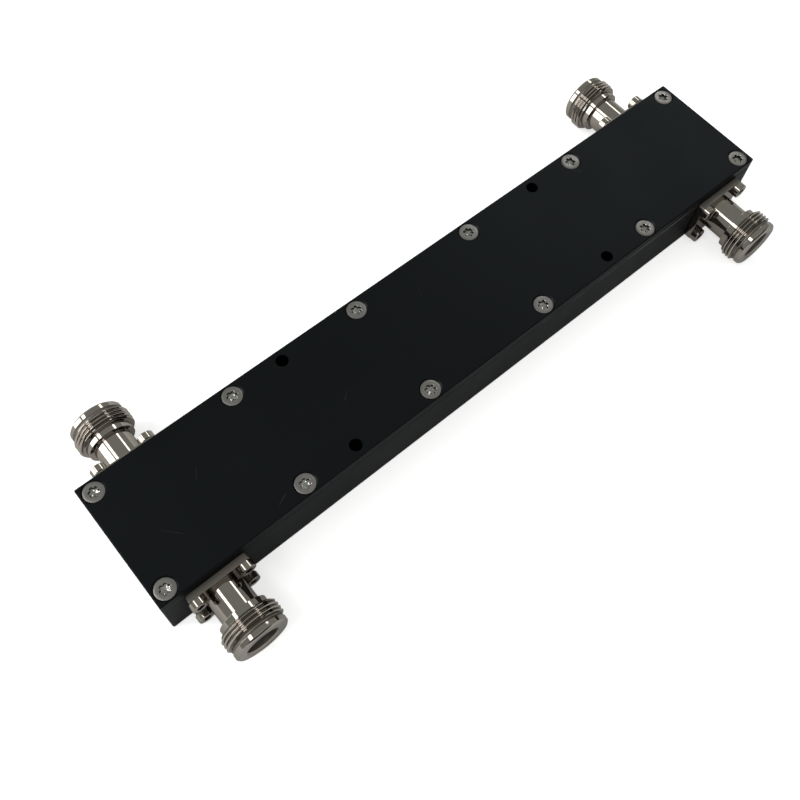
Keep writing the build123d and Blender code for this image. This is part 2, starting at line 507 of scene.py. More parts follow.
def anodised_aluminium(name, finish):
    """Milled, etched and anodised black: a dark satin face with a fine even grain and little sheen at a
    grazing look. Handling leaves a few specks of dust and hairline scratches. A highlight along the seam
    between lid and housing is painted into the colour, in places.
    """
    cloud_size = 25 * MM
    speck_radius = 0.18 * MM / finish.dust_spacing
    scratch_cell = 38 * MM
    scratch_length = 9 * MM
    scratch_width = 0.05 * MM / scratch_cell
    seam_highlight_length = 45 * MM
    seam_highlight_height = 0.16 * MM
    seam_highlight_depth = 0.3 * MM
    material = new_material(name, finish.anodised_black)
    tree = material.node_tree
    place = add_node(tree, "ShaderNodeTexCoord").outputs["Object"]

    # The real grain is under 0.1 mm, too fine to show, so it is drawn as coarse as the property says
    grain = add_node(
        tree, "ShaderNodeTexNoise", {"Vector": place, "Scale": 1 / finish.etched_grain, "Detail": 2.0}
    )
    cloud = add_node(tree, "ShaderNodeTexNoise", {"Vector": place, "Scale": 1 / cloud_size, "Detail": 3.0})
    roughness = add_node(
        tree,
        "ShaderNodeMapRange",
        {"Value": cloud.outputs["Fac"], "From Min": 0.3, "From Max": 0.7, "To Min": 0.38, "To Max": 0.45},
    )

    # Specks of dust: one in some cells of the pattern
    speck = add_node(
        tree,
        "ShaderNodeTexVoronoi",
        {"Vector": place, "Scale": 1 / finish.dust_spacing, "Randomness": 1.0},
    )
    speck_shape = add_node(
        tree,
        "ShaderNodeMapRange",
        {"Value": speck.outputs["Distance"], "From Min": speck_radius, "From Max": speck_radius / 2},
    )
    speck_choice = add_node(
        tree, "ShaderNodeMath", {0: speck.outputs["Color"], 1: 0.72}, operation="GREATER_THAN"
    )
    speck_mask = add_node(
        tree,
        "ShaderNodeMath",
        {0: speck_shape.outputs["Result"], 1: speck_choice.outputs["Value"]},
        operation="MULTIPLY",
    )

    # Hairline scratches: short pieces of the lines between large cells
    line = add_node(
        tree,
        "ShaderNodeTexVoronoi",
        {"Vector": place, "Scale": 1 / scratch_cell, "Randomness": 1.0},
        feature="DISTANCE_TO_EDGE",
    )
    line_shape = add_node(
        tree,
        "ShaderNodeMapRange",
        {"Value": line.outputs["Distance"], "From Min": scratch_width, "From Max": 0.0, "To Max": 0.22},
    )
    line_choice = add_node(
        tree, "ShaderNodeTexNoise", {"Vector": place, "Scale": 1 / scratch_length, "Detail": 1.0}
    )
    line_where = add_node(
        tree,
        "ShaderNodeMapRange",
        {"Value": line_choice.outputs["Fac"], "From Min": 0.64, "From Max": 0.7},
    )
    line_mask = add_node(
        tree,
        "ShaderNodeMath",
        {0: line_shape.outputs["Result"], 1: line_where.outputs["Result"]},
        operation="MULTIPLY",
    )
    scuffs = add_node(
        tree,
        "ShaderNodeMath",
        {0: speck_mask.outputs["Value"], 1: line_mask.outputs["Value"]},
        operation="MAXIMUM",
    )

    # Painted highlight: in places the sharp edges where lid and housing meet are painted in the light grey
    # of the dust and scratches
    split = add_node(tree, "ShaderNodeSeparateXYZ", {"Vector": place})
    seam = add_node(
        tree,
        "ShaderNodeMath",
        {0: split.outputs["Z"], 1: SEAM_HEIGHT, 2: seam_highlight_height},
        operation="COMPARE",
    )
    seam_highlight_choice = add_node(
        tree, "ShaderNodeTexNoise", {"Vector": place, "Scale": 1 / seam_highlight_length, "Detail": 3.0}
    )
    seam_highlight_where = add_node(
        tree,
        "ShaderNodeMapRange",
        {"Value": seam_highlight_choice.outputs["Fac"], "From Min": 0.58, "From Max": 0.68, "To Max": 0.7},
    )
    side = add_node(tree, "ShaderNodeMath", {0: split.outputs["Y"]}, operation="ABSOLUTE")
    outside = add_node(
        tree, "ShaderNodeMath", {0: side.outputs["Value"], 1: WALL - seam_highlight_depth}, operation="GREATER_THAN"
    )
    outer_seam = add_node(
        tree,
        "ShaderNodeMath",
        {0: seam.outputs["Value"], 1: outside.outputs["Value"]},
        operation="MULTIPLY",
    )
    painted_seam_highlight = add_node(
        tree,
        "ShaderNodeMath",
        {0: outer_seam.outputs["Value"], 1: seam_highlight_where.outputs["Result"]},
        operation="MULTIPLY",
    )
    # Dust, scratches and the painted seam highlight together
    marks = add_node(
        tree,
        "ShaderNodeMath",
        {0: scuffs.outputs["Value"], 1: painted_seam_highlight.outputs["Value"]},
        operation="MAXIMUM",
    )
    colour = add_node(
        tree,
        "ShaderNodeMix",
        {0: marks.outputs["Value"], 6: rgba(finish.anodised_black), 7: rgba(finish.dust_and_seam_highlight)},
        data_type="RGBA",
    )
    metal_share = add_node(
        tree, "ShaderNodeMath", {0: 1.0, 1: marks.outputs["Value"]}, operation="SUBTRACT"
    )
    bump = add_node(
        tree, "ShaderNodeBump", {"Height": grain.outputs["Fac"], "Strength": 0.25, "Distance": 0.01 * MM}
    )
    shader = add_node(
        tree,
        "ShaderNodeBsdfPrincipled",
        {
            "Base Color": colour.outputs[2],
            "Metallic": metal_share.outputs["Value"],
            "Roughness": roughness.outputs["Result"],
            "Specular Tint": ANODISED_TINT,
            "Normal": bump.outputs["Normal"],
        },
    )
    add_node(tree, "ShaderNodeOutputMaterial", {"Surface": shader.outputs["BSDF"]})
    return material


def turned_metal(name, colour, feed, roughness, ring_depth, root_radius=None):
    """A turned metal with fine rings round its axis. The UV map of a turned piece holds the radius and the
    height in millimetres, so that one noise pattern makes rings on every face of it. On a thread, painted
    shade darkens the colour from the middle of its flanks to its root.
    """
    stain_size = 2.5 * MM
    stained_share = 0.88
    painted_root_shade_share = 0.33
    material = new_material(name, colour)
    tree = material.node_tree
    rings_place = add_node(tree, "ShaderNodeUVMap", uv_map="Turned").outputs["UV"]
    place = add_node(tree, "ShaderNodeTexCoord").outputs["Object"]
    rings = add_node(
        tree, "ShaderNodeTexNoise", {"Vector": rings_place, "Scale": MM / feed, "Detail": 2.0}
    )
    bump = add_node(
        tree, "ShaderNodeBump", {"Height": rings.outputs["Fac"], "Strength": 0.5, "Distance": ring_depth}
    )
    stain = add_node(tree, "ShaderNodeTexNoise", {"Vector": place, "Scale": 1 / stain_size, "Detail": 4.0})
    stained_roughness = add_node(
        tree,
        "ShaderNodeMapRange",
        {
            "Value": stain.outputs["Fac"],
            "From Min": 0.35,
            "From Max": 0.7,
            "To Min": roughness * 0.85,
            "To Max": roughness * 1.3,
        },
    )
    stained_colour = add_node(
        tree,
        "ShaderNodeMix",
        {0: stain.outputs["Fac"], 6: rgba(colour), 7: rgba(colour, stained_share)},
        data_type="RGBA",
    )
    # Painted shade: from the middle of a thread's flanks the colour darkens to a third at its root
    if root_radius:
        radius = add_node(tree, "ShaderNodeSeparateXYZ", {"Vector": rings_place}).outputs["X"]
        height = add_node(
            tree,
            "ShaderNodeMapRange",
            {
                "Value": radius,
                "From Min": root_radius / MM,
                "From Max": (root_radius + THREAD_RADIUS) / 2 / MM,
            },
        )
        stained_colour = add_node(
            tree,
            "ShaderNodeMix",
            {
                0: height.outputs["Result"],
                6: rgba(colour, painted_root_shade_share),
                7: stained_colour.outputs[2],
            },
            data_type="RGBA",
        )
    shader = add_node(
        tree,
        "ShaderNodeBsdfPrincipled",
        {
            "Base Color": stained_colour.outputs[2],
            "Metallic": 1.0,
            "Specular Tint": METAL_TINT,
            "Roughness": stained_roughness.outputs["Result"],
            "Normal": bump.outputs["Normal"],
        },
    )
    add_node(tree, "ShaderNodeOutputMaterial", {"Surface": shader.outputs["BSDF"]})
    return material


def plated_metal(name, colour, roughness, grain_size, grain_depth):
    """A plated metal on a milled or drawn face: an even fine grain and a slow change of tone."""
    tone_size = 4 * MM
    dull_share = 0.85
    material = new_material(name, colour)
    tree = material.node_tree
    place = add_node(tree, "ShaderNodeTexCoord").outputs["Object"]
    grain = add_node(tree, "ShaderNodeTexNoise", {"Vector": place, "Scale": 1 / grain_size, "Detail": 2.0})
    tone = add_node(tree, "ShaderNodeTexNoise", {"Vector": place, "Scale": 1 / tone_size, "Detail": 3.0})
    toned_colour = add_node(
        tree,
        "ShaderNodeMix",
        {0: tone.outputs["Fac"], 6: rgba(colour), 7: rgba(colour, dull_share)},
        data_type="RGBA",
    )
    toned_roughness = add_node(
        tree,
        "ShaderNodeMapRange",
        {"Value": tone.outputs["Fac"], "To Min": roughness * 0.8, "To Max": roughness * 1.25},
    )
    bump = add_node(
        tree, "ShaderNodeBump", {"Height": grain.outputs["Fac"], "Strength": 0.4, "Distance": grain_depth}
    )
    shader = add_node(
        tree,
        "ShaderNodeBsdfPrincipled",
        {
            "Base Color": toned_colour.outputs[2],
            "Metallic": 1.0,
            "Specular Tint": METAL_TINT,
            "Roughness": toned_roughness.outputs["Result"],
            "Normal": bump.outputs["Normal"],
        },
    )
    add_node(tree, "ShaderNodeOutputMaterial", {"Surface": shader.outputs["BSDF"]})
    return material


def turned_ptfe(name, finish):
    """PTFE turned from rod: white and waxy, so light goes a little way in, with faint tool marks."""
    mark_size = 0.4 * MM
    material = new_material(name, finish.dielectric)
    tree = material.node_tree
    place = add_node(tree, "ShaderNodeTexCoord").outputs["Object"]
    marks = add_node(tree, "ShaderNodeTexNoise", {"Vector": place, "Scale": 1 / mark_size, "Detail": 3.0})
    colour = add_node(
        tree,
        "ShaderNodeMix",
        {0: marks.outputs["Fac"], 6: rgba(finish.dielectric), 7: rgba(finish.dull_dielectric)},
        data_type="RGBA",
    )
    bump = add_node(
        tree, "ShaderNodeBump", {"Height": marks.outputs["Fac"], "Strength": 0.3, "Distance": 0.01 * MM}
    )
    shader = add_node(
        tree,
        "ShaderNodeBsdfPrincipled",
        {
            "Base Color": colour.outputs[2],
            "Roughness": 0.45,
            "IOR": 1.35,
            "Subsurface Weight": 0.15,
            "Subsurface Scale": 0.5 * MM,
            "Normal": bump.outputs["Normal"],
        },
    )
    add_node(tree, "ShaderNodeOutputMaterial", {"Surface": shader.outputs["BSDF"]})
    return material


# The colour of each turned metal and the share of it that is left, its roughness and its rings' depth
TURNED_METALS = {
    # Bright nickel plate over turned brass: mirror-like, warm grey, with faint lathe rings
    "turned_nickel_plate": ("nickel", 1.0, 0.05, 0.0004 * MM),
    # Nickel plate over a cut thread: a painted highlight makes it 1.35 times as bright as the plate, and
    # painted shade darkens it towards the root
    "threaded_nickel_plate": ("nickel", 1.35, 0.05, 0.0004 * MM),
    # Stainless steel, cold headed and turned: grey, satin, with rings on the face of a head
    "stainless_steel": ("screw_steel", 1.0, 0.4, 0.006 * MM),
    # Steel, polished by tumbling and plated: the flange screws shine like the sockets
    "bright_plated_steel": ("nickel", 1.0, 0.07, 0.0008 * MM),
}
# The same of each plated or formed metal, with the size and depth of its grain
PLATED_METALS = {
    # Nickel plate over the milled edges of a flange and in grooves and bores: the same plate, satin, and
    # darkened to 0.68 by painted shade
    "milled_nickel_plate": ("nickel", 0.68, 0.5, 0.15 * MM, 0.002 * MM),
    # Stainless steel pressed by a polished punch: the floor of a recess is bright and uneven
    "forged_stainless_steel": ("recess_steel", 1.0, 0.08, 0.6 * MM, 0.25 * MM),
    # Stainless steel on the steep walls of a recess, a quarter as bright as the steel on the recess floor
    "oiled_stainless_steel": ("recess_steel", 0.25, 0.12, 0.3 * MM, 0.01 * MM),
    # Gold plate over turned brass: smooth and warm
    "gold_plate": ("contact_gold", 1.0, 0.2, 0.1 * MM, 0.002 * MM),
    # Silver plate over a milled brass bar: pale and satin, with a slow change of tone
    "silver_plate": ("bar_silver", 1.0, 0.28, 0.2 * MM, 0.004 * MM),
}
OTHER_FINISHES = {"anodised_aluminium": anodised_aluminium, "turned_ptfe": turned_ptfe}


def skin(context, name):
    """The finish of that name, made the first time that a piece asks for it."""
    finish = context.scene.coupler_finish
    if name in bpy.data.materials:
        return bpy.data.materials[name]
    if name in OTHER_FINISHES:
        return OTHER_FINISHES[name](name, finish)
    if name in PLATED_METALS:
        colour, share, *surface = PLATED_METALS[name]
        return plated_metal(name, shade(getattr(finish, colour), share), *surface)
    colour, share, roughness, ring_depth = TURNED_METALS[name]
    # The thread's painted shade needs the radius of its root
    root_radius = None
    if name == "threaded_nickel_plate":
        root_radius = THREAD_RADIUS - context.scene.coupler_sockets.thread_depth
    colour = shade(getattr(finish, colour), share)
    return turned_metal(name, colour, finish.turning_feed, roughness, ring_depth, root_radius)


def dress_node(context, node, name):
    """Gives a CAD node its finish and leaves its mesh alone."""
    slots = frame["nodes"][node].material_slots
    for slot in slots:
        slot.material = skin(context, name)
    if not slots:
        raise RuntimeError(f"{node} has no material slot")


def dress_piece(context, piece, *names):
    """Gives a new piece its finishes, one slot each."""
    for name in names:
        piece.data.materials.append(skin(context, name))


def start_piece(name):
    """Names the object that an operator has just added."""
    piece = bpy.context.object
    piece.name = name
    piece.data.name = name
    return piece


def draw_profile(name, points):
    """Draws an open line through points of radius and height, vertex by vertex, in the XZ plane."""
    bpy.ops.object.select_all(action="DESELECT")
    bpy.ops.mesh.primitive_plane_add(size=1 * MM)
    piece = start_piece(name)
    bpy.ops.object.mode_set(mode="EDIT")
    bpy.ops.mesh.select_all(action="SELECT")
    bpy.ops.mesh.merge(type="CENTER")
    bpy.ops.transform.translate(value=(points[0][0], 0.0, points[0][1]))
    for (radius, height), (next_radius, next_height) in zip(points, points[1:]):
        step = (next_radius - radius, 0.0, next_height - height)
        bpy.ops.mesh.extrude_region_move(TRANSFORM_OT_translate={"value": step})
    bpy.ops.object.mode_set(mode="OBJECT")
    return piece


def turn_profile(name, points):
    """A piece turned from a closed profile of radius and height points, as on a lathe."""
    piece = draw_profile(name, [*points, points[0]])
    bpy.ops.object.mode_set(mode="EDIT")
    bpy.ops.mesh.select_all(action="SELECT")
    bpy.ops.mesh.spin(steps=TURNED_STEPS, angle=math.tau, center=(0.0, 0.0, 0.0), axis=(0.0, 0.0, 1.0))
    bpy.ops.mesh.select_all(action="SELECT")
    bpy.ops.mesh.remove_doubles(threshold=WELD)
    bpy.ops.mesh.normals_make_consistent(inside=False)
    bpy.ops.object.mode_set(mode="OBJECT")
    return piece


def stack_rings(name, rings):
    """A closed piece built ring by ring. Each ring is a height and a radius, or a height and a function
    that gives the radius at an angle. The first and last rings are closed by a face.
    """
    bpy.ops.object.select_all(action="DESELECT")
    bpy.ops.mesh.primitive_circle_add(vertices=TURNED_STEPS, radius=1 * MM)
    piece = start_piece(name)
    bpy.ops.object.mode_set(mode="EDIT")
    for number, (height, radius) in enumerate(rings):
        if number:
            bpy.ops.mesh.extrude_edges_move()
        mesh = bmesh.from_edit_mesh(piece.data)
        for vertex in mesh.verts:
            if vertex.select:
                angle = math.atan2(vertex.co.y, vertex.co.x)
                reach = radius(angle) if callable(radius) else radius
                vertex.co = (reach * math.cos(angle), reach * math.sin(angle), height)
        bmesh.update_edit_mesh(piece.data)
    bpy.ops.mesh.select_all(action="SELECT")
    bpy.ops.mesh.fill_holes(sides=0)
    bpy.ops.mesh.normals_make_consistent(inside=False)
    bpy.ops.object.mode_set(mode="OBJECT")
    return piece


def round_edges(piece, width):
    """Bevels the sharp edges of a piece with a modifier and applies it."""
    make_active(piece)
    modifier = piece.modifiers.new("Bevel", "BEVEL")
    modifier.width = width
    modifier.segments = 2
    modifier.limit_method = "ANGLE"
    modifier.angle_limit = math.radians(30)
    bpy.ops.object.modifier_apply(modifier=modifier.name)


def chamfer_edges(piece, width, wanted):
    """Chamfers the edges whose two ends a test picks out."""
    make_active(piece)
    bpy.ops.object.mode_set(mode="EDIT")
    bpy.ops.mesh.select_mode(type="EDGE")
    bpy.ops.mesh.select_all(action="DESELECT")
    mesh = bmesh.from_edit_mesh(piece.data)
    for edge in mesh.edges:
        if wanted(edge.verts[0].co, edge.verts[1].co):
            edge.select_set(True)
    bmesh.update_edit_mesh(piece.data)
    bpy.ops.mesh.bevel(offset=width, segments=1)
    bpy.ops.object.mode_set(mode="OBJECT")


def make_active(piece):
    """Selects one piece alone."""
    bpy.ops.object.select_all(action="DESELECT")
    piece.select_set(True)
    bpy.context.view_layer.objects.active = piece


def smooth(piece):
    """Shades a piece smooth, apart from its sharp edges. Large faces set the normals, so that they mirror
    straight beside a small rounding.
    """
    make_active(piece)
    bpy.ops.object.shade_smooth_by_angle(angle=math.radians(35))
    modifier = piece.modifiers.new("Normals", "WEIGHTED_NORMAL")
    modifier.mode = "FACE_AREA"
    modifier.weight = 100
    modifier.keep_sharp = True
    bpy.ops.object.modifier_apply(modifier=modifier.name)


def join(pieces, name):
    """Joins pieces into the first one and names it."""
    make_active(pieces[0])
    for piece in pieces[1:]:
        piece.select_set(True)
    bpy.ops.object.join()
    return start_piece(name)


def map_turned(piece):
    """Writes the UV map that the turned finishes read: radius and height in millimetres."""
    layer = piece.data.uv_layers.get("Turned") or piece.data.uv_layers.new(name="Turned")
    for loop in piece.data.loops:
        place = piece.data.vertices[loop.vertex_index].co
        layer.data[loop.index].uv = (math.hypot(place.x, place.y) / MM, place.z / MM)


def copy_piece(piece, name, place):
    """A copy of a piece with its own mesh, laid at a place by its matrix."""
    copied = piece.copy()
    copied.data = piece.data.copy()
    copied.name = name
    copied.data.name = name
    copied.data.transform(place)
    bpy.context.collection.objects.link(copied)
    return copied


def remove_piece(piece):
    """Deletes a piece that only served as a pattern."""
    mesh = piece.data
    bpy.data.objects.remove(piece)
    bpy.data.meshes.remove(mesh)


def socket_seat(name):
    """The matrix that lays a turned piece on its socket's seat, with its height out of the side wall."""
    mount = MOUNTS[name + "_socket"]
    side = 1 if mount["axis"][1] > 0 else -1
    along = Vector((1.0, 0.0, 0.0))
    outward = Vector((0.0, side, 0.0))
    turn = Matrix((along, outward.cross(along), outward)).transposed().to_4x4()
    seat = Vector((mount["pos_m"][0], side * WALL, mount["pos_m"][2]))
    return Matrix.Translation(seat) @ turn


def thread_ridge(sizes, root_radius, start, end):
    """The ridge of the coupling thread: one section swept along its helix, past both ends of the land,
    then pressed into the chamfer at each end so that it runs out there.
    """
    turns = math.ceil((end - start) / sizes.thread_pitch) + 1
    low = (start + end - turns * sizes.thread_pitch) / 2
    half_base = 0.43 * sizes.thread_pitch
    half_root = 0.94 * half_base
    half_crest = 0.07 * sizes.thread_pitch
    half_top = 0.4 * half_crest
    crest = THREAD_RADIUS - 0.03 * MM
    buried = root_radius - 0.15 * MM
    end_gap = 0.02 * MM
    end_slope = 2
    section = [
        (buried, low - half_base),
        (root_radius, low - half_root),
        (crest, low - half_crest),
        (THREAD_RADIUS, low - half_top),
        (THREAD_RADIUS, low + half_top),
        (crest, low + half_crest),
        (root_radius, low + half_root),
        (buried, low + half_base),
        (buried, low - half_base),
    ]
    ridge = draw_profile("thread_ridge", section)
    bpy.ops.object.mode_set(mode="EDIT")
    bpy.ops.mesh.select_all(action="SELECT")
    bpy.ops.mesh.remove_doubles(threshold=WELD)
    bpy.ops.object.mode_set(mode="OBJECT")
    modifier = ridge.modifiers.new("Helix", "SCREW")
    modifier.axis = "Z"
    modifier.angle = math.tau
    modifier.screw_offset = sizes.thread_pitch
    modifier.iterations = turns
    modifier.steps = TURNED_STEPS
    modifier.render_steps = TURNED_STEPS
    bpy.ops.object.modifier_apply(modifier=modifier.name)
    for vertex in ridge.data.vertices:
        radius = math.hypot(vertex.co.x, vertex.co.y)
        room = root_radius + min(vertex.co.z - start, end_slope * (end - vertex.co.z))
        scale = min(radius, room) / radius
        vertex.co.x *= scale
        vertex.co.y *= scale
        vertex.co.z = min(max(vertex.co.z, start + end_gap), end - end_gap)
    bpy.ops.object.mode_set(mode="EDIT")
    bpy.ops.mesh.select_all(action="SELECT")
    bpy.ops.mesh.fill_holes(sides=0)
    bpy.ops.mesh.remove_doubles(threshold=WELD)
    bpy.ops.mesh.normals_make_consistent(inside=False)
    bpy.ops.object.mode_set(mode="OBJECT")
    return ridge


def flange_plate(context, sizes, screw_places):
    """The flange: a plate bored for the shell and for its four screws, with small rounded edges."""
    rounding = 0.08 * MM
    back_face = 0.01 * MM
    shank_radius = context.scene.coupler_screws.cap_shank_radius
    bpy.ops.object.select_all(action="DESELECT")
    bpy.ops.mesh.primitive_cube_add(size=1.0, location=(0.0, 0.0, sizes.flange_thickness / 2))
    plate = start_piece("flange_plate")
    plate.scale = (FLANGE_WIDTH, sizes.flange_height, sizes.flange_thickness)
    bpy.ops.object.transform_apply(location=True, rotation=True, scale=True)
    chamfer_edges(plate, sizes.flange_corner_chamfer, lambda low, high: low.xy == high.xy)
    chamfer_edges(plate, sizes.flange_back_chamfer, lambda low, high: max(low.z, high.z) < back_face)
    round_edges(plate, rounding)
    bores = [((0.0, 0.0), sizes.insulator_radius + BORE_ROOM)]
    bores += [(place, shank_radius + BORE_ROOM) for place in screw_places]
    for (x, y), radius in bores:
        bpy.ops.mesh.primitive_cylinder_add(
            vertices=BORE_STEPS, radius=radius, depth=4 * sizes.flange_thickness, location=(x, y, 0.0)
        )
        cutter = bpy.context.object
        make_active(plate)
        modifier = plate.modifiers.new("Bore", "BOOLEAN")
        modifier.operation = "DIFFERENCE"
        modifier.solver = "EXACT"
        modifier.object = cutter
        bpy.ops.object.modifier_apply(modifier=modifier.name)
        remove_piece(cutter)
    return plate


def socket_shell(context):
    """The pattern for a socket's shell: the flange and the turned body with its coupling thread."""
    sizes = context.scene.coupler_sockets
    rounding = 0.07 * MM
    neck_end = sizes.flange_thickness + sizes.neck_length
    collar_end = neck_end + sizes.collar_length
    thread_end = collar_end + sizes.thread_length
    root_radius = THREAD_RADIUS - sizes.thread_depth
    relief_radius = root_radius - sizes.relief_depth
    lip_start = thread_end + sizes.relief_width + sizes.lip_radius - relief_radius
    reference = SOCKET_LENGTH - sizes.mouth_depth
    insulator_front = reference - sizes.air_line_length
    neck_base = sizes.flange_thickness - OVERLAP
    body = turn_profile(
        "turned_body",
        [
            (sizes.insulator_radius, -SPIGOT_LENGTH),
            (sizes.spigot_radius, -SPIGOT_LENGTH),
            (sizes.spigot_radius, neck_base),
            (sizes.neck_radius, neck_base),
            (sizes.neck_radius, neck_end),
            (sizes.collar_radius, neck_end),
            (sizes.collar_radius, collar_end),
            (root_radius, collar_end),
            (root_radius, thread_end),
            (relief_radius, thread_end),
            (relief_radius, thread_end + sizes.relief_width),
            (sizes.lip_radius, lip_start),
            (sizes.lip_radius, SOCKET_LENGTH - sizes.lip_chamfer),
            (sizes.lip_radius - sizes.lip_chamfer, SOCKET_LENGTH),
            (sizes.mouth_radius + sizes.countersink_width, SOCKET_LENGTH),
            (sizes.mouth_radius, SOCKET_LENGTH - sizes.countersink_depth),
            (sizes.mouth_radius, reference),
            (sizes.air_line_radius, reference),
            (sizes.air_line_radius, insulator_front),
            (sizes.insulator_radius, insulator_front),
        ],
    )
    round_edges(body, rounding)
    ridge = thread_ridge(sizes, root_radius, collar_end, thread_end)
    plate = flange_plate(context, sizes, flange_screw_places(context))
    for piece in (body, ridge, plate):
        map_turned(piece)
    dress_piece(context, body, "turned_nickel_plate", "milled_nickel_plate", "threaded_nickel_plate")
    dress_piece(context, ridge, "threaded_nickel_plate")
    dress_piece(context, plate, "turned_nickel_plate", "milled_nickel_plate")
    turned, milled, threaded = range(3)
    # Painted shade: the groove where the thread ends and the bores take the darker milled plate
    for face in body.data.polygons:
        reach = math.hypot(face.center.x, face.center.y)
        relieved = thread_end < face.center.z < lip_start and reach < sizes.lip_radius
        if relieved or reach < sizes.mouth_radius + OVERLAP:
            face.material_index = milled
        elif collar_end < face.center.z < thread_end and reach < root_radius + OVERLAP:
            face.material_index = threaded
    # Painted shade: the flange's upper and lower sides take the darker milled plate
    for face in plate.data.polygons:
        face.material_index = milled if abs(face.normal.y) > 0.7 else turned
    shell = join([body, ridge, plate], "socket_shell")
    smooth(shell)
    return shell


def flange_screw_places(context):
    """Where the flange screws stand on a seat, as X and Y on the flange's face."""
    sizes = context.scene.coupler_sockets
    screws = context.scene.coupler_screws
    reach_x = CAPS_HIGH[0] - SOCKET_X - screws.cap_radius
    reach_y = CAPS_HIGH[2] - SOCKET_HEIGHT - screws.cap_radius
    return [(x, y) for x in (-reach_x, reach_x) for y in (-reach_y, reach_y)]


def lobed(tip_radius, root_radius):
    """The radius of a six-lobe recess at an angle. The power makes the lobes broader than the gaps."""

    def reach(angle):
        wave = (0.5 + 0.5 * math.cos(6 * angle)) ** 0.8
        return root_radius + (tip_radius - root_radius) * wave

    return reach


def hexagonal(apothem):
    """The radius of a hexagon at an angle."""
    sixth = math.tau / 6
    return lambda angle: apothem / math.cos(angle % sixth - sixth / 2)


def give_to(piece, nodes):
    """Rides a finished piece on the body, in place of its CAD nodes."""
    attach(piece, BODY)
    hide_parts(*nodes)


class COUPLER_OT_body(bpy.types.Operator):
    """Finishes the housing and the lid in black anodised aluminium"""

    bl_idname = "coupler.body"
    bl_label = "Finish Body"

    def execute(self, context):
        for node in ("housing", "lid"):
            dress_node(context, node, "anodised_aluminium")
        return {"FINISHED"}


class COUPLER_OT_line(bpy.types.Operator):
    """Finishes the line bars, their supports, the insulators and the contacts"""

    bl_idname = "coupler.line"
    bl_label = "Finish Inner Line"

    def execute(self, context):
        for node in frame["nodes"]:
            if node.endswith("_line_bar"):
                dress_node(context, node, "silver_plate")
            elif node.startswith("bar_support") or node.endswith("_insulator"):
                dress_node(context, node, "turned_ptfe")
            elif node.endswith("_contact"):
                dress_node(context, node, "gold_plate")
        return {"FINISHED"}


class COUPLER_OT_sockets(bpy.types.Operator):
    """Turns the four nickel plated socket shells with their coupling threads"""

    bl_idname = "coupler.sockets"
    bl_label = "Turn Sockets"

    def execute(self, context):
        pattern = socket_shell(context)
        for name in SOCKETS:
            shell = copy_piece(pattern, name + "_turned_shell", socket_seat(name))
            give_to(shell, [name + "_shell"])
        remove_piece(pattern)
        return {"FINISHED"}


class COUPLER_OT_lid_screws(bpy.types.Operator):
    """Makes the countersunk lid screws with their six-lobe recesses"""

    bl_idname = "coupler.lid_screws"
    bl_label = "Make Lid Screws"

    def execute(self, context):
        screws = context.scene.coupler_screws
        tip, root = screws.lobe_tip_radius, screws.lobe_root_radius
        length = SCREWS_HIGH[2] - SCREWS_LOW[2]
        cone_depth = screws.head_radius - screws.shank_radius
        end_chamfer = 0.3 * MM
        rim = 0.12 * MM
        rim_taper = 0.03 * MM
        rim_rounding = 0.05 * MM
        face_radius = 1.9 * MM
        recess_break = 0.1 * MM
        floor_share = 0.93
        # The punch's tip, as depths below the recess with their radii
        punch_tip = ((0.12 * MM, 0.7 * MM), (0.3 * MM, 0.15 * MM))
        rings = [
            (-length, screws.shank_radius - end_chamfer),
            (-length + end_chamfer, screws.shank_radius),
            (-cone_depth, screws.shank_radius),
            (-rim, screws.head_radius - rim_taper),
            (-rim_rounding, screws.head_radius),
            (0.0, screws.head_radius - rim),
            (0.0, face_radius),
            (0.0, lobed(tip + rim, root + rim)),
            (-recess_break, lobed(tip, root)),
            (-screws.recess_depth, lobed(floor_share * tip, floor_share * root)),
        ]
        rings += [(-screws.recess_depth - depth, radius) for depth, radius in punch_tip]
        pattern = stack_rings("lid_screw", rings)
        map_turned(pattern)
        dress_piece(context, pattern, "stainless_steel", "forged_stainless_steel", "oiled_stainless_steel")
        forged, steep_wall = 1, 2
        for face in pattern.data.polygons:
            reach = math.hypot(face.center.x, face.center.y)
            sunk = -1.5 * screws.recess_depth < face.center.z < -0.01 * MM
            if sunk and reach < tip + recess_break:
                face.material_index = forged if abs(face.normal.z) > 0.3 else steep_wall
        smooth(pattern)
        left = SCREWS_LOW[0] + screws.seat_radius
        right = SCREWS_HIGH[0] - screws.seat_radius
        row = SCREWS_HIGH[1] - screws.seat_radius
        # Each recess stands at another angle, as screws do that a hand has tightened
        turn_step = 37
        copies = []
        for column in range(screws.columns):
            x = left + (right - left) * column / (screws.columns - 1)
            for y in (-row, row):
                turn = Matrix.Rotation(math.radians(turn_step * len(copies)), 4, "Z")
                place = Matrix.Translation((x, y, HEAD_TOP)) @ turn
                copies.append(copy_piece(pattern, f"lid_screw_{len(copies) + 1}", place))
        remove_piece(pattern)
        give_to(join(copies, "lid_screws_headed"), ["lid_screws"])
        return {"FINISHED"}


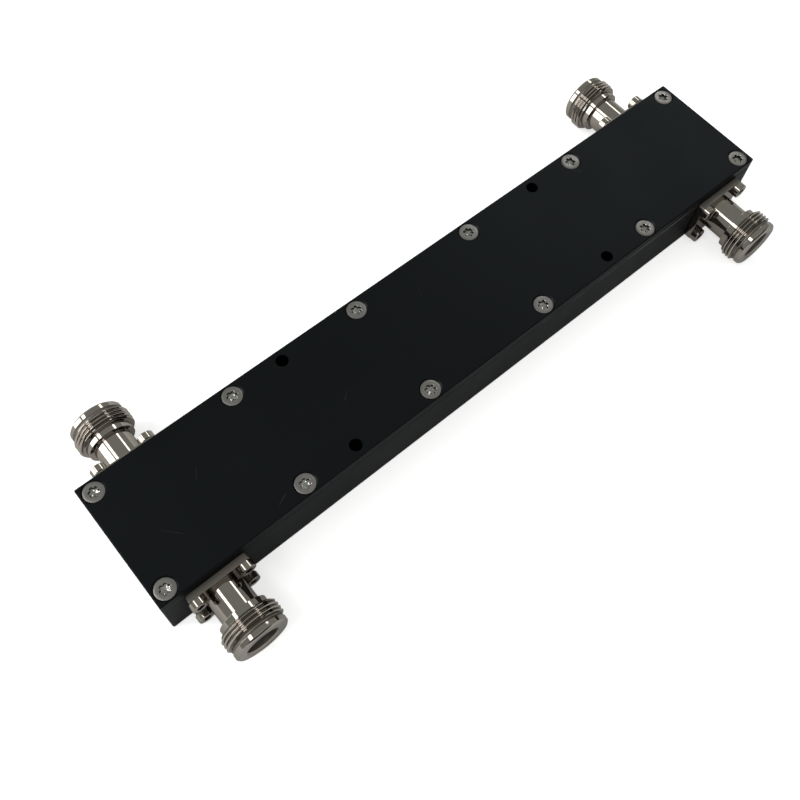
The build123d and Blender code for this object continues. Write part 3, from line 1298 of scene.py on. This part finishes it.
class COUPLER_OT_flange_screws(bpy.types.Operator):
    """Makes the cap screws that hold the flanges"""

    bl_idname = "coupler.flange_screws"
    bl_label = "Make Flange Screws"

    def execute(self, context):
        screws = context.scene.coupler_screws
        sizes = context.scene.coupler_sockets
        under = sizes.flange_thickness
        top = under + screws.cap_height
        shank_end = under - screws.cap_shank_length
        socket = hexagonal(screws.hexagon_apothem)
        socket_floor = top - screws.hexagon_depth
        end_chamfer = 0.2 * MM
        under_chamfer = 0.1 * MM
        face_rounding = 0.02 * MM
        break_width = 0.08 * MM
        break_depth = 0.07 * MM
        point_depth = 0.25 * MM
        point_radius = 0.2 * MM
        rings = [
            (shank_end, screws.cap_shank_radius - end_chamfer),
            (shank_end + end_chamfer, screws.cap_shank_radius),
            (under, screws.cap_shank_radius),
            (under, screws.cap_radius - under_chamfer),
            (under + under_chamfer, screws.cap_radius),
            (top - screws.cap_chamfer, screws.cap_radius),
            (top - face_rounding, screws.cap_radius - 0.8 * screws.cap_chamfer),
            (top, screws.cap_radius - 1.2 * screws.cap_chamfer),
            (top, hexagonal(screws.hexagon_apothem + break_width)),
            (top - break_depth, socket),
            (socket_floor, socket),
            (socket_floor - point_depth, point_radius),
        ]
        pattern = stack_rings("flange_screw", rings)
        map_turned(pattern)
        dress_piece(context, pattern, "bright_plated_steel")
        smooth(pattern)
        turn_step = 23
        copies = []
        for name in SOCKETS:
            for x, y in flange_screw_places(context):
                turn = Matrix.Rotation(math.radians(turn_step * len(copies)), 4, "Z")
                place = socket_seat(name) @ Matrix.Translation((x, y, 0.0)) @ turn
                copies.append(copy_piece(pattern, f"flange_screw_{len(copies) + 1}", place))
        remove_piece(pattern)
        give_to(join(copies, "flange_screws_capped"), ["flange_screws"])
        return {"FINISHED"}


def add_lamp(name, place, aim, width, length, watts):
    """A rectangular lamp at a place, turned to an aim, with its length along Y as far as that allows."""
    light = bpy.data.lights.new(name, "AREA")
    light.shape = "RECTANGLE"
    light.size = width
    light.size_y = length
    light.energy = watts
    lamp = bpy.data.objects.new(name, light)
    back = (Vector(place) - Vector(aim)).normalized()
    across = Vector((0.0, 1.0, 0.0)).cross(back).normalized()
    turn = Matrix((across, back.cross(across), back)).transposed().to_4x4()
    lamp.matrix_world = Matrix.Translation(place) @ turn
    bpy.context.collection.objects.link(lamp)


def floor_material(stage):
    """A matt pale floor that shows white where nothing shades it, in metal and glass too."""
    material = new_material("pale_floor", stage.floor_colour)
    tree = material.node_tree
    path = add_node(tree, "ShaderNodeLightPath")
    mirrored = add_node(
        tree,
        "ShaderNodeMath",
        {0: path.outputs["Is Glossy Ray"], 1: path.outputs["Is Transmission Ray"]},
        operation="MAXIMUM",
    )
    mirrored_strength = add_node(
        tree,
        "ShaderNodeMath",
        {0: mirrored.outputs["Value"], 1: stage.mirrored_glow},
        operation="MULTIPLY",
    )
    strength = add_node(
        tree,
        "ShaderNodeMath",
        {0: path.outputs["Is Camera Ray"], 1: stage.floor_glow, 2: mirrored_strength.outputs["Value"]},
        operation="MULTIPLY_ADD",
    )
    paint = add_node(tree, "ShaderNodeBsdfDiffuse", {"Color": rgba(stage.floor_colour)})
    glow = add_node(tree, "ShaderNodeEmission", {"Strength": strength.outputs["Value"]})
    both = add_node(tree, "ShaderNodeAddShader", {0: paint.outputs["BSDF"], 1: glow.outputs["Emission"]})
    add_node(tree, "ShaderNodeOutputMaterial", {"Surface": both.outputs["Shader"]})
    return material


def set_world(stage):
    """A dim ceiling, brighter over the front, above a low pale band. Metal has dark and bright parts to
    mirror, and the light from the front leaves little shadow in view. The camera sees the pale band alone.
    """
    world = bpy.data.worlds.new("studio")
    world.use_nodes = True
    tree = world.node_tree
    tree.nodes.clear()
    direction = add_node(tree, "ShaderNodeTexCoord").outputs["Generated"]
    split = add_node(tree, "ShaderNodeSeparateXYZ", {"Vector": direction})
    rise = add_node(
        tree,
        "ShaderNodeMapRange",
        {"Value": split.outputs["Z"], "From Min": PALE_BAND[0], "From Max": PALE_BAND[1]},
        interpolation_type="SMOOTHSTEP",
    )
    forward = add_node(
        tree,
        "ShaderNodeMapRange",
        {"Value": split.outputs["Y"], "From Min": FRONT_BAND[0], "From Max": FRONT_BAND[1]},
        interpolation_type="SMOOTHSTEP",
    )
    front_rise = add_node(
        tree,
        "ShaderNodeMapRange",
        {"Value": split.outputs["Z"], "From Min": LOW_FRONT_BAND[0], "From Max": LOW_FRONT_BAND[1]},
        interpolation_type="SMOOTHSTEP",
    )
    front = add_node(
        tree,
        "ShaderNodeMix",
        {0: front_rise.outputs["Result"], 6: rgba(stage.low_front_colour), 7: rgba(stage.front_colour)},
        data_type="RGBA",
    )
    overhead = add_node(
        tree,
        "ShaderNodeMix",
        {0: forward.outputs["Result"], 6: rgba(stage.ceiling_colour), 7: front.outputs[2]},
        data_type="RGBA",
    )
    colour = add_node(
        tree,
        "ShaderNodeMix",
        {0: rise.outputs["Result"], 6: rgba(stage.horizon_colour), 7: overhead.outputs[2]},
        data_type="RGBA",
    )
    path = add_node(tree, "ShaderNodeLightPath")
    seen = add_node(
        tree,
        "ShaderNodeMix",
        {0: path.outputs["Is Camera Ray"], 6: colour.outputs[2], 7: rgba(stage.horizon_colour)},
        data_type="RGBA",
    )
    background = add_node(tree, "ShaderNodeBackground", {"Color": seen.outputs[2], "Strength": 1.0})
    add_node(tree, "ShaderNodeOutputWorld", {"Surface": background.outputs["Background"]})
    bpy.context.scene.world = world


class COUPLER_OT_stage(bpy.types.Operator):
    """Sets the pale floor, the lamps, the ceiling and the camera"""

    bl_idname = "coupler.stage"
    bl_label = "Set Stage"

    def execute(self, context):
        stage = context.scene.coupler_stage
        bpy.ops.object.select_all(action="DESELECT")
        bpy.ops.mesh.primitive_circle_add(vertices=64, radius=FLOOR_RADIUS, fill_type="NGON")
        floor = start_piece("floor")
        floor.data.materials.append(floor_material(stage))
        set_world(stage)
        for name, settings in LAMPS.items():
            add_lamp(name, *settings)

        camera_data = bpy.data.cameras.new("camera")
        camera_data.sensor_width = CAMERA_SENSOR
        camera_data.lens = CAMERA_LENS
        camera_data.shift_x, camera_data.shift_y = CAMERA_SHIFT
        camera_data.clip_start = CAMERA_NEAREST
        camera = bpy.data.objects.new("camera", camera_data)
        camera.location = CAMERA_PLACE
        camera.rotation_euler = Euler([math.radians(turn) for turn in CAMERA_TURN])
        context.collection.objects.link(camera)
        context.scene.camera = camera
        context.scene.view_settings.view_transform = "Standard"
        return {"FINISHED"}


class COUPLER_PT_panel(bpy.types.Panel):
    """Lists the coupler's operators and settings in the sidebar"""

    bl_idname = "COUPLER_PT_panel"
    bl_label = "Hybrid Coupler"
    bl_space_type = "VIEW_3D"
    bl_region_type = "UI"
    bl_category = "Coupler"

    def draw(self, context):
        for operator in OPERATORS:
            self.layout.operator(operator.bl_idname)
        for settings in SETTINGS:
            column = self.layout.column(align=True)
            for key in settings.__annotations__:
                column.prop(getattr(context.scene, SETTINGS[settings]), key)


OPERATORS = (
    COUPLER_OT_stage,
    COUPLER_OT_body,
    COUPLER_OT_line,
    COUPLER_OT_sockets,
    COUPLER_OT_lid_screws,
    COUPLER_OT_flange_screws,
)
SETTINGS = {
    CouplerFinish: "coupler_finish",
    CouplerSockets: "coupler_sockets",
    CouplerScrews: "coupler_screws",
    CouplerStage: "coupler_stage",
}


def register():
    for settings, name in SETTINGS.items():
        bpy.utils.register_class(settings)
        setattr(bpy.types.Scene, name, bpy.props.PointerProperty(type=settings))
    for operator in OPERATORS:
        bpy.utils.register_class(operator)
    bpy.utils.register_class(COUPLER_PT_panel)


def unregister():
    bpy.utils.unregister_class(COUPLER_PT_panel)
    for operator in reversed(OPERATORS):
        bpy.utils.unregister_class(operator)
    for settings, name in reversed(SETTINGS.items()):
        delattr(bpy.types.Scene, name)
        bpy.utils.unregister_class(settings)


def main():
    register()
    bpy.ops.coupler.stage()
    bpy.ops.coupler.body()
    bpy.ops.coupler.line()
    bpy.ops.coupler.sockets()
    bpy.ops.coupler.lid_screws()
    bpy.ops.coupler.flange_screws()


if __name__ == "__main__":
    main()
